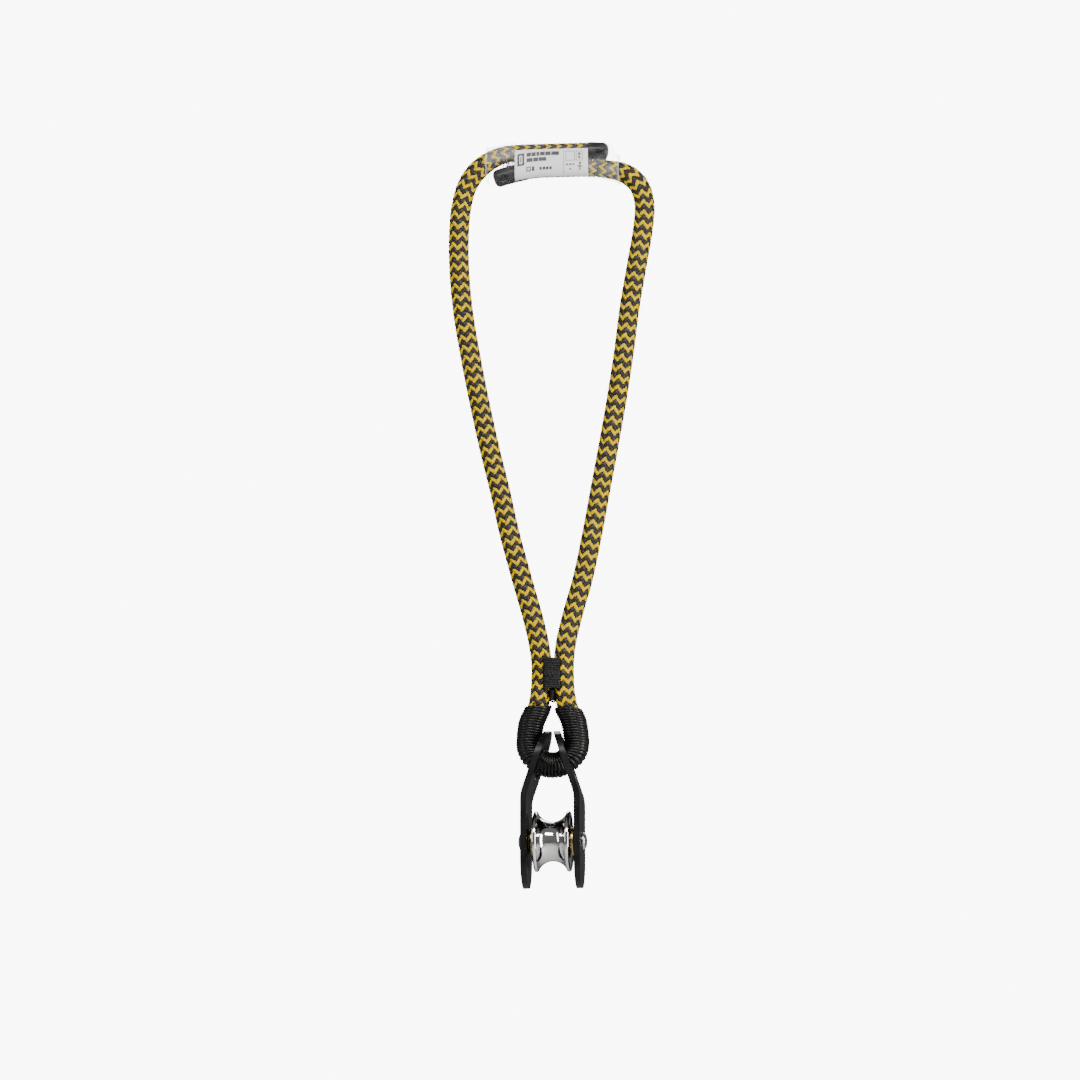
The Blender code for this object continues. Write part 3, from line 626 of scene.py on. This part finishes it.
# ================================================================ splice dressing
def station(x):
    table = np.array(FILM_STATIONS)
    out = []
    for column in (1, 2, 3):
        near = [np.interp(x + d, table[:, 0], table[:, column]) for d in (-1.5, -0.75, 0.0, 0.75, 1.5)]
        out.append(sum(near) / len(near))
    return out


def make_film(mat):
    """Shrink film round both strands, loose and creased at its ends."""
    xs = np.linspace(FILM_STATIONS[0][0], FILM_STATIONS[-1][0], 200)
    arc, wall = 16, 8
    verts, edge, frost = [], [], []
    for x in xs:
        low, high, extra = station(x)
        radius = FILM_R + extra
        loose = np.clip((abs(x) - 25.0) / 12.0, 0.0, 1.0)
        ring = []
        for i in range(arc + 1):
            a = math.radians(90.0 * i / arc)
            ring.append((-radius * math.sin(a), low - radius * math.cos(a)))
        for i in range(1, wall):
            ring.append((-radius, low + (high - low) * i / wall))
        for i in range(arc + 1):
            a = math.radians(90.0 + 90.0 * i / arc)
            ring.append((-radius * math.sin(a), high - radius * math.cos(a)))
        ring += [(-y, z) for y, z in reversed(ring[1:-1])]
        middle = (low + high) / 2.0
        for y, z in ring:
            centre = low if z < low else high if z > high else z
            away = Vector((0.0, y, z - centre))
            away.normalize()
            spot = Vector((x * 0.16, y * 0.35, z * 0.35))
            fold = abs(noise.noise(spot)) * 1.5 + 0.5 * abs(noise.noise(spot * 2.7 + Vector((5.0, 0.0, 0.0))))
            push = (0.06 + 0.55 * loose) * (fold - 0.25)
            verts.append(((x + 0.5 * loose * noise.noise(spot * 1.7)) * MM, (y + away.y * push) * MM,
                          (z + away.z * push) * MM))
            edge.append(float(np.clip((abs(x - 0.4) - 39.2) / 1.8, 0.0, 1.0)))
            over_braid = (x < -22.0 and z > middle + 1.0) or (x > 22.0 and z < middle - 1.0)
            empty = x > 33.0 and z > middle
            frost.append(0.15 if over_braid else 0.11 if empty else 0.035)
    cols = len(verts) // len(xs)
    obj = add_mesh("splice_film", verts, grid_faces(len(xs), cols, True), mat, "sling")
    layer = obj.data.attributes.new("edge", "FLOAT", "POINT")
    layer.data.foreach_set("value", np.array(edge, dtype=np.float32))
    layer = obj.data.attributes.new("frost", "FLOAT", "POINT")
    layer.data.foreach_set("value", np.array(frost, dtype=np.float32))
    return obj


def label_point(x, v, lift=0.0):
    """Point on the label: x along it, v mm up its face from the lower edge."""
    low, high, _ = station(x)
    radius = LABEL_R
    first = radius * math.radians(90.0 - LABEL_FROM)
    straight = high - low
    r = radius + lift
    if v < first:
        a = math.radians(LABEL_FROM) + v / radius
        return (x * MM, -r * math.sin(a) * MM, (low - r * math.cos(a)) * MM)
    if v < first + straight:
        return (x * MM, -r * MM, (low + v - first) * MM)
    a = math.radians(90.0) + (v - first - straight) / radius
    return (x * MM, -r * math.sin(a) * MM, (high - r * math.cos(a)) * MM)


def label_height(x):
    low, high, _ = station(x)
    return LABEL_R * math.radians(LABEL_TO - LABEL_FROM) + high - low


def make_label(mat):
    verts = []
    cols, rows = 60, 40
    for i in range(cols):
        x = LABEL_X[0] + (LABEL_X[1] - LABEL_X[0]) * i / (cols - 1)
        for j in range(rows):
            verts.append(label_point(x, label_height(x) * j / (rows - 1)))
    obj = add_mesh("label_sheet", verts, grid_faces(cols, rows, False), mat, "sling")
    solid = obj.modifiers.new("thickness", "SOLIDIFY")
    solid.thickness = 0.06 * MM
    solid.offset = 0.0
    return obj


class Print:
    """Flat marks laid on the label: bars, frames and discs only."""

    def __init__(self):
        self.verts, self.faces = [], []

    def bar(self, x0, x1, v0, v1):
        nx, nv = max(2, int((x1 - x0) / 0.8) + 2), max(2, int((v1 - v0) / 0.8) + 2)
        base = len(self.verts)
        for i in range(nx):
            for j in range(nv):
                x = x0 + (x1 - x0) * i / (nx - 1)
                self.verts.append(label_point(x, v0 + (v1 - v0) * j / (nv - 1), 0.09))
        self.faces += grid_faces(nx, nv, False, base).tolist()

    def frame(self, x0, x1, v0, v1, w):
        self.bar(x0, x1, v0, v0 + w)
        self.bar(x0, x1, v1 - w, v1)
        self.bar(x0, x0 + w, v0 + w, v1 - w)
        self.bar(x1 - w, x1, v0 + w, v1 - w)

    def disc(self, x, v, r):
        base = len(self.verts)
        self.verts.append(label_point(x, v, 0.09))
        for i in range(20):
            a = 2.0 * math.pi * i / 20
            self.verts.append(label_point(x + r * math.cos(a), v + r * math.sin(a), 0.09))
        for i in range(20):
            self.faces.append([base, base + 1 + i, base + 1 + (i + 1) % 20])


def make_print(mat):
    p = Print()
    p.frame(-20.9, -16.7, 9.0, 16.6, 1.15)
    p.bar(-19.1, -18.5, 10.9, 14.7)
    for x0, x1 in ((-15.3, -12.6), (-12.25, -9.6), (-9.25, -7.4), (-7.05, -4.2), (-3.85, -0.6), (-0.25, 4.6)):
        p.bar(x0, x1, 14.0, 16.4)
    for x0, x1 in ((-15.3, -11.6), (-11.25, -8.2), (-7.85, -3.2)):
        p.bar(x0, x1, 10.6, 13.0)
    p.frame(-15.4, -12.7, 4.8, 7.7, 0.6)
    p.bar(-12.0, -10.6, 4.8, 7.7)
    for x0, x1 in ((-7.4, -5.9), (-5.4, -3.9), (-3.4, -1.9), (-1.4, 0.2)):
        p.bar(x0, x1, 5.2, 7.0)
    p.bar(7.3, 7.55, 2.0, 17.0)
    p.frame(8.6, 14.2, 10.4, 16.4, 0.3)
    p.frame(14.9, 18.8, 10.4, 16.4, 0.3)
    p.disc(16.85, 14.7, 0.75)
    p.bar(16.35, 17.35, 11.5, 13.7)
    for x0, x1 in ((8.8, 10.2), (10.7, 12.3), (12.8, 14.0)):
        p.bar(x0, x1, 7.6, 8.5)
    p.disc(17.3, 8.9, 0.75)
    p.bar(16.95, 17.65, 4.4, 8.0)
    p.bar(15.6, 19.0, 6.6, 7.2)
    p.bar(11.0, 11.8, 4.6, 5.7)
    return add_mesh("label_print", p.verts, p.faces, mat, "sling")


def make_splice_stitch(mat):
    bundle = Bundle()
    rng = np.random.default_rng(5)
    for side in (-1.0, 1.0):
        for shift in (0.0, 1.15, 2.3):
            xs = np.arange(-30.0 + shift, 34.0, 2.3)
            pts = []
            for k, x in enumerate(xs):
                low, high, _ = station(x)
                rise = 2.3 if (k + int(shift)) % 2 else -2.5
                if shift > 1.2 and shift < 2.0:
                    rise = -rise
                rise *= 1.0 + rng.normal(0.0, 0.06)
                depth = 4.75
                pts.append((x, side * depth, (low + high) / 2.0 + rise))
                pts.append((x + 1.15, side * (depth + 0.10), (low + high) / 2.0))
            centres = np.array(pts) * MM
            up = np.tile(np.array((0.0, side, 0.0)), (len(pts), 1))
            bundle.tube(centres, up, np.full(len(pts), 0.30 * MM), np.full(len(pts), 0.26 * MM), ellipse(6))
    return bundle.make("splice_thread", mat, "sling")


# ================================================================ metal parts
def lathe(name, profile, mat, body, steps=96, sharp=35.0):
    """Turned piece about the axle line: profile holds (radius, along X) in mm."""
    closed = profile[0][0] > 1e-6
    verts = []
    for i in range(steps):
        angle = 2.0 * math.pi * i / steps
        for r, along in profile:
            verts.append((along * MM, r * math.sin(angle) * MM, (AXLE_Z + r * math.cos(angle)) * MM))
    cols = len(profile)
    faces = []
    for i in range(steps):
        j = (i + 1) % steps
        for c in range(cols if closed else cols - 1):
            d = (c + 1) % cols
            faces.append((i * cols + c, i * cols + d, j * cols + d, j * cols + c))
    mesh = bpy.data.meshes.new(name)
    mesh.from_pydata(verts, [], faces)
    bm = bmesh.new()
    bm.from_mesh(mesh)
    bmesh.ops.remove_doubles(bm, verts=bm.verts, dist=1e-6)
    bmesh.ops.recalc_face_normals(bm, faces=bm.faces)
    bm.to_mesh(mesh)
    bm.free()
    mesh.shade_smooth()
    mesh.set_sharp_from_angle(angle=math.radians(sharp))
    mesh.materials.append(mat)
    obj = bpy.data.objects.new(name, mesh)
    bpy.context.scene.collection.objects.link(obj)
    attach(obj, body)
    return obj


def sheave_profile():
    half = SHEAVE_HALF_WIDTH
    centre = GROOVE_BOTTOM_R + GROOVE_R
    lip_r = SHEAVE_R - RIM_ROUND
    mouth = math.sqrt(GROOVE_R ** 2 - (centre - lip_r) ** 2)
    lip, rim = (mouth + half) / 2.0, (half - mouth) / 2.0
    side = []
    for degrees in range(0, 181, 12):
        a = math.radians(degrees)
        side.append((lip_r + RIM_ROUND * math.sin(a), lip + rim * math.cos(a)))
    spread = math.asin(mouth / GROOVE_R)
    arc = []
    for i in range(1, 60):
        a = spread * (1.0 - i / 30.0)
        arc.append((centre - GROOVE_R * math.cos(a), GROOVE_R * math.sin(a)))
    outer = side + arc + [(r, -x) for r, x in reversed(side)]
    dish = [(9.0, half), (9.4, half - 0.05), (10.1, half - 0.65), (10.6, half - 0.75), (15.0, half - 0.75),
            (15.5, half - 0.65), (16.2, half - 0.05), (16.6, half)]
    back = [(r, -x) for r, x in reversed(dish)]
    return dish + outer + back + [(SHEAVE_BORE_R, -half), (SHEAVE_BORE_R, half)]


def bush_profile(side):
    seat, outer, inner = 11.25, 13.0, 1.95
    profile = [(4.38, outer), (8.0, outer), (8.28, outer - 0.08), (8.44, outer - 0.25), (8.5, outer - 0.5),
               (8.5, seat + 0.4), (8.38, seat + 0.15), (8.1, seat), (5.5, seat), (5.5, inner),
               (4.08, inner), (4.08, outer - 0.3)]
    return profile if side > 0 else [(r, -x) for r, x in reversed(profile)]


def screw_profile(side):
    seat = CHEEK_X + CHEEK_T / 2.0 + HEAD_SEAT_GAP
    tip = seat - SCREW_SHANK
    dome = []
    for degrees in range(90, -1, -6):
        a = math.radians(degrees)
        dome.append((HEAD_R * math.cos(a), seat + 0.5 + HEAD_RISE * math.sin(a)))
    dome[0] = (0.0, dome[0][1])
    under = [(HEAD_R, seat + 0.2), (HEAD_R - 0.15, seat), (SCREW_SHANK_R, seat),
             (SCREW_SHANK_R, tip + 0.4), (SCREW_SHANK_R - 0.4, tip), (0.0, tip)]
    profile = dome + under
    return profile if side > 0 else [(r, -x) for r, x in reversed(profile)]


def cheek_line():
    top = Vector((CHEEK_TOP_X, CHEEK_TOP_Z))
    knee = Vector((CHEEK_X, CHEEK_KNEE_Z))
    slope = (knee - top).normalized()
    turn = slope.angle(Vector((0.0, -1.0)))
    reach = CHEEK_BEND_R * math.tan(turn / 2.0)
    centre = Vector((CHEEK_X - CHEEK_BEND_R, CHEEK_KNEE_Z - reach))
    bend = []
    for i in range(17):
        angle = turn * (1.0 - i / 16.0)
        bend.append(centre + CHEEK_BEND_R * Vector((math.cos(angle), math.sin(angle))))
    return [top - slope * 6.0] + bend + [Vector((CHEEK_X, CHEEK_BOTTOM_Z - 6.0))]


def offset_line(points, distance):
    out = []
    for i, point in enumerate(points):
        along = (points[min(i + 1, len(points) - 1)] - points[max(i - 1, 0)]).normalized()
        out.append(point + Vector((-along.y, along.x)) * distance)
    return out


def cheek_outline():
    points = []
    for degrees in range(0, 181, 4):
        a = math.radians(degrees)
        points.append((CHEEK_HALF_DEPTH * math.cos(a), EYE_HOLE_Z + (CHEEK_TOP_Z - EYE_HOLE_Z) * math.sin(a)))
    low = CHEEK_BOTTOM_Z + CHEEK_HALF_DEPTH
    for degrees in range(180, 361, 4):
        a = math.radians(degrees)
        points.append((CHEEK_HALF_DEPTH * math.cos(a), low + CHEEK_HALF_DEPTH * math.sin(a)))
    return points


def prism(name, outline, half, matrix):
    """Closed outline in mm, extruded to both sides and placed."""
    bm = bmesh.new()
    front = [bm.verts.new(matrix @ Vector((u * MM, v * MM, half * MM))) for u, v in outline]
    back = [bm.verts.new(matrix @ Vector((u * MM, v * MM, -half * MM))) for u, v in outline]
    bm.faces.new(front)
    bm.faces.new(list(reversed(back)))
    for i in range(len(outline)):
        j = (i + 1) % len(outline)
        bm.faces.new((front[i], back[i], back[j], front[j]))
    bmesh.ops.recalc_face_normals(bm, faces=bm.faces)
    mesh = bpy.data.meshes.new(name)
    bm.to_mesh(mesh)
    bm.free()
    obj = bpy.data.objects.new(name, mesh)
    bpy.context.scene.collection.objects.link(obj)
    return obj


def cone_cutter(name, rings, matrix, steps=64):
    """Turned cutter about its own Z: rings hold (radius, height) in mm."""
    bm = bmesh.new()
    loops = []
    for r, h in rings:
        loops.append([bm.verts.new(matrix @ Vector((r * math.cos(2 * math.pi * i / steps) * MM,
                                                    r * math.sin(2 * math.pi * i / steps) * MM, h * MM)))
                      for i in range(steps)])
    for a, b in zip(loops, loops[1:]):
        for i in range(steps):
            j = (i + 1) % steps
            bm.faces.new((a[i], a[j], b[j], b[i]))
    bm.faces.new(loops[0])
    bm.faces.new(loops[-1])
    bmesh.ops.recalc_face_normals(bm, faces=bm.faces)
    mesh = bpy.data.meshes.new(name)
    bm.to_mesh(mesh)
    bm.free()
    obj = bpy.data.objects.new(name, mesh)
    bpy.context.scene.collection.objects.link(obj)
    return obj


def make_cheek(name, side, mat):
    middle = cheek_line()
    ring = offset_line(middle, CHEEK_T / 2.0) + list(reversed(offset_line(middle, -CHEEK_T / 2.0)))
    to_y = Matrix.Rotation(math.pi / 2.0, 4, "X")
    to_x = Matrix(((0.0, 0.0, 1.0, 0.0), (1.0, 0.0, 0.0, 0.0), (0.0, 1.0, 0.0, 0.0), (0.0, 0.0, 0.0, 1.0)))
    plate = prism(name, [(p.x * side, p.y) for p in ring], CHEEK_HALF_DEPTH + 4.0, to_y)
    slope = Vector((CHEEK_X - CHEEK_TOP_X, 0.0, CHEEK_KNEE_Z - CHEEK_TOP_Z)).normalized()
    share = (CHEEK_TOP_Z - EYE_HOLE_Z) / (CHEEK_TOP_Z - CHEEK_KNEE_Z)
    spot = Vector((side * (CHEEK_TOP_X + share * (CHEEK_X - CHEEK_TOP_X)), 0.0, EYE_HOLE_Z))
    normal = Vector((-slope.z * side, 0.0, slope.x))
    place = Matrix.Translation(spot * MM) @ normal.to_track_quat("Z", "Y").to_matrix().to_4x4()
    flare = EYE_HOLE_FLARE
    half = CHEEK_T / 2.0
    rings = [(EYE_HOLE_R, -9.0), (EYE_HOLE_R, half - flare)]
    for i in range(1, 7):
        rings.append((EYE_HOLE_R + flare * (1.0 - math.cos(math.radians(15.0 * i))),
                      half - flare + flare * math.sin(math.radians(15.0 * i))))
    rings.append((EYE_HOLE_R + flare, 9.0))
    across = Matrix.Translation((0.0, 0.0, AXLE_Z * MM)) @ Matrix.Rotation(math.pi / 2.0, 4, "Y")
    bore = [(AXLE_HOLE_R, -30.0), (AXLE_HOLE_R, 30.0)]
    cutters = [(prism(name + "_trim", cheek_outline(), 30.0, to_x), "INTERSECT"),
               (cone_cutter(name + "_eye", rings, place), "DIFFERENCE"),
               (cone_cutter(name + "_bore", bore, across), "DIFFERENCE")]
    for cutter, operation in cutters:
        mod = plate.modifiers.new(cutter.name, "BOOLEAN")
        mod.operation = operation
        mod.solver = "EXACT"
        mod.object = cutter
    bevel = plate.modifiers.new("edges", "BEVEL")
    bevel.width = 0.75 * MM
    bevel.segments = 3
    bevel.limit_method = "ANGLE"
    bevel.angle_limit = math.radians(38.0)
    bpy.context.view_layer.update()
    graph = bpy.context.evaluated_depsgraph_get()
    mesh = bpy.data.meshes.new_from_object(plate.evaluated_get(graph))
    plate.modifiers.clear()
    plate.data = mesh
    for cutter, _ in cutters:
        bpy.data.objects.remove(cutter, do_unlink=True)
    mesh.materials.clear()
    mesh.materials.append(mat)
    mesh.shade_smooth()
    mesh.set_sharp_from_angle(angle=math.radians(50.0))
    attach(plate, "pulley")
    return plate


# ================================================================ studio
def area_light(name, place, target, size, power, colour=(1.0, 1.0, 1.0)):
    data = bpy.data.lights.new(name, "AREA")
    data.shape = "RECTANGLE"
    data.size, data.size_y = size
    data.energy = power
    data.color = colour
    obj = bpy.data.objects.new(name, data)
    obj.location = place
    way = Vector(target) - Vector(place)
    obj.rotation_euler = way.to_track_quat("-Z", "Y").to_euler()
    obj.visible_camera = False
    bpy.context.scene.collection.objects.link(obj)


def make_studio():
    world = bpy.data.worlds.new("studio_world")
    world.use_nodes = True
    back = world.node_tree.nodes["Background"]
    back.inputs["Color"].default_value = (1.0, 0.99, 0.97, 1.0)
    back.inputs["Strength"].default_value = 0.16
    bpy.context.scene.world = world

    floor_mat = new_material("floor_paint", (0.80, 0.80, 0.79), 0.6)
    n = Nodes(floor_mat)
    grain = n.noise(n.coords(), 14.0, 4.0)
    n.to("Base Color", n.ramp(grain, (0.78, 0.78, 0.775), (0.82, 0.82, 0.815), 0.3, 0.7))
    bpy.ops.mesh.primitive_plane_add(size=24.0, location=(0.0, 0.0, FLOOR_Z))
    floor = bpy.context.object
    floor.name = "studio_floor"
    floor.data.materials.append(floor_mat)

    wall_mat = new_material("backdrop_paper", (0.95, 0.95, 0.95), 0.7)
    n = Nodes(wall_mat)
    grain = n.noise(n.coords(), 0.4, 2.0)
    n.to("Base Color", n.ramp(grain, (0.94, 0.94, 0.94), (0.96, 0.96, 0.96), 0.3, 0.7))
    n.shader.inputs["Emission Color"].default_value = (1.0, 1.0, 1.0, 1.0)
    n.shader.inputs["Emission Strength"].default_value = 9.0
    bpy.ops.mesh.primitive_uv_sphere_add(segments=48, ring_count=24, radius=11.0)
    wall = bpy.context.object
    wall.name = "studio_backdrop"
    wall.data.materials.append(wall_mat)
    wall.data.shade_smooth()
    for flag in ("visible_diffuse", "visible_glossy", "visible_transmission", "visible_shadow"):
        setattr(wall, flag, False)

    middle = (0.0, 0.0, -0.22)
    area_light("key_top", (0.25, -1.6, 0.85), middle, (1.9, 0.45), 46.0)
    area_light("strip_right", (1.35, -0.55, -0.35), middle, (0.30, 1.2), 22.0)
    area_light("strip_left", (-1.6, -0.9, 0.1), middle, (0.30, 1.3), 9.0)
    area_light("back_rim", (0.2, 1.5, 0.9), middle, (1.2, 0.5), 9.0)


# ================================================================ main
def main():
    make_camera()
    yellow = fibre_material("yarn_yellow", (0.42, 0.26, 0.0), (0.88, 0.60, 0.0), 0.5, 0.0, gloss=0.1)
    black = fibre_material("yarn_black", (0.0050, 0.0042, 0.0032), (0.0240, 0.0200, 0.0150),
                           0.42, 0.02, gloss=0.35)
    # core yarn darkened from its own white to grey-brown: painted shade between the cover strands
    core = fibre_material("yarn_core_with_painted_shade", (0.10, 0.09, 0.06), (0.22, 0.20, 0.15), 0.8, 0.1)
    cord = fibre_material("whipping_cord", (0.0006, 0.0005, 0.0004), (0.0035, 0.0026, 0.0020),
                          0.34, 0.01, 0.8, gloss=0.32, relief=0.12)
    thread = fibre_material("sewing_thread", (0.0006, 0.0006, 0.0007), (0.0045, 0.0045, 0.005),
                            0.40, 0.01, 2.2, gloss=0.35, relief=0.5)
    dip = rubbery("dipped_end", (0.0018, 0.0018, 0.002), 0.30)
    satin = anodised_material()
    polished = turned_material("polished_alloy", (0.70, 0.69, 0.68), (0.86, 0.855, 0.85),
                               0.07, 900.0, 0.000004, 0.02)
    steel = turned_material("bright_steel", (0.50, 0.49, 0.48), (0.72, 0.71, 0.70),
                            0.24, 2600.0, 0.00002, 0.06)
    bronze = turned_material("turned_bronze", (0.62, 0.42, 0.16), (0.86, 0.64, 0.30),
                             0.26, 2600.0, 0.00002, 0.06)
    dark = turned_material("blackened_steel", (0.03, 0.03, 0.03), (0.07, 0.07, 0.075),
                           0.4, 2600.0, 0.00002, 0.06)

    line = Line(smooth_line())
    first, second, where = make_braid(line, yellow, black)
    liner = make_liner(line, core)
    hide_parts("rope_cover")
    upper = make_cap("rope_tip_upper", line, 0.0, UPPER_CAP + 0.6 * MM, True, dip)
    lower = make_cap("rope_tip_lower", line, line.length - LOWER_CAP - 0.6 * MM, line.length, False, dip)
    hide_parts("rope_end_upper")
    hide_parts("rope_end_lower")

    whipping = make_whipping(line, cord)
    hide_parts("eye_serving")
    throat = make_throat(thread)
    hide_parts("throat_stitch_front", "throat_stitch_back")
    stitches = make_splice_stitch(thread)
    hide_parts("splice_stitch_front", "splice_stitch_back")
    sheet = make_label(label_material())
    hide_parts("splice_label")
    make_print(ink_material())
    film = make_film(film_material())
    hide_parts("splice_sleeve")

    for side, tag in ((-1.0, "left"), (1.0, "right")):
        cheek = make_cheek("side_plate_" + tag, side, satin)
        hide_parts("cheek_" + tag)
        screw = lathe("axle_head_" + tag, screw_profile(side), steel, "pulley", 64)
        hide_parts("axle_screw_" + tag)
        bush = lathe("bearing_" + tag, bush_profile(side), bronze, "wheel", 64)
        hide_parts("bush_" + tag)
    wheel = lathe("rope_wheel", sheave_profile(), polished, "wheel", 144)
    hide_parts("sheave")

    # rope_core takes the core yarn colour with its painted shade
    kept_nodes = {"rope_core": core, "axle_sleeve": steel, "washer_left": dark, "washer_right": dark}
    for name, mat in kept_nodes.items():
        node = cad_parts[name]
        for slot in node.material_slots:
            slot.material = mat
    make_studio()


main()
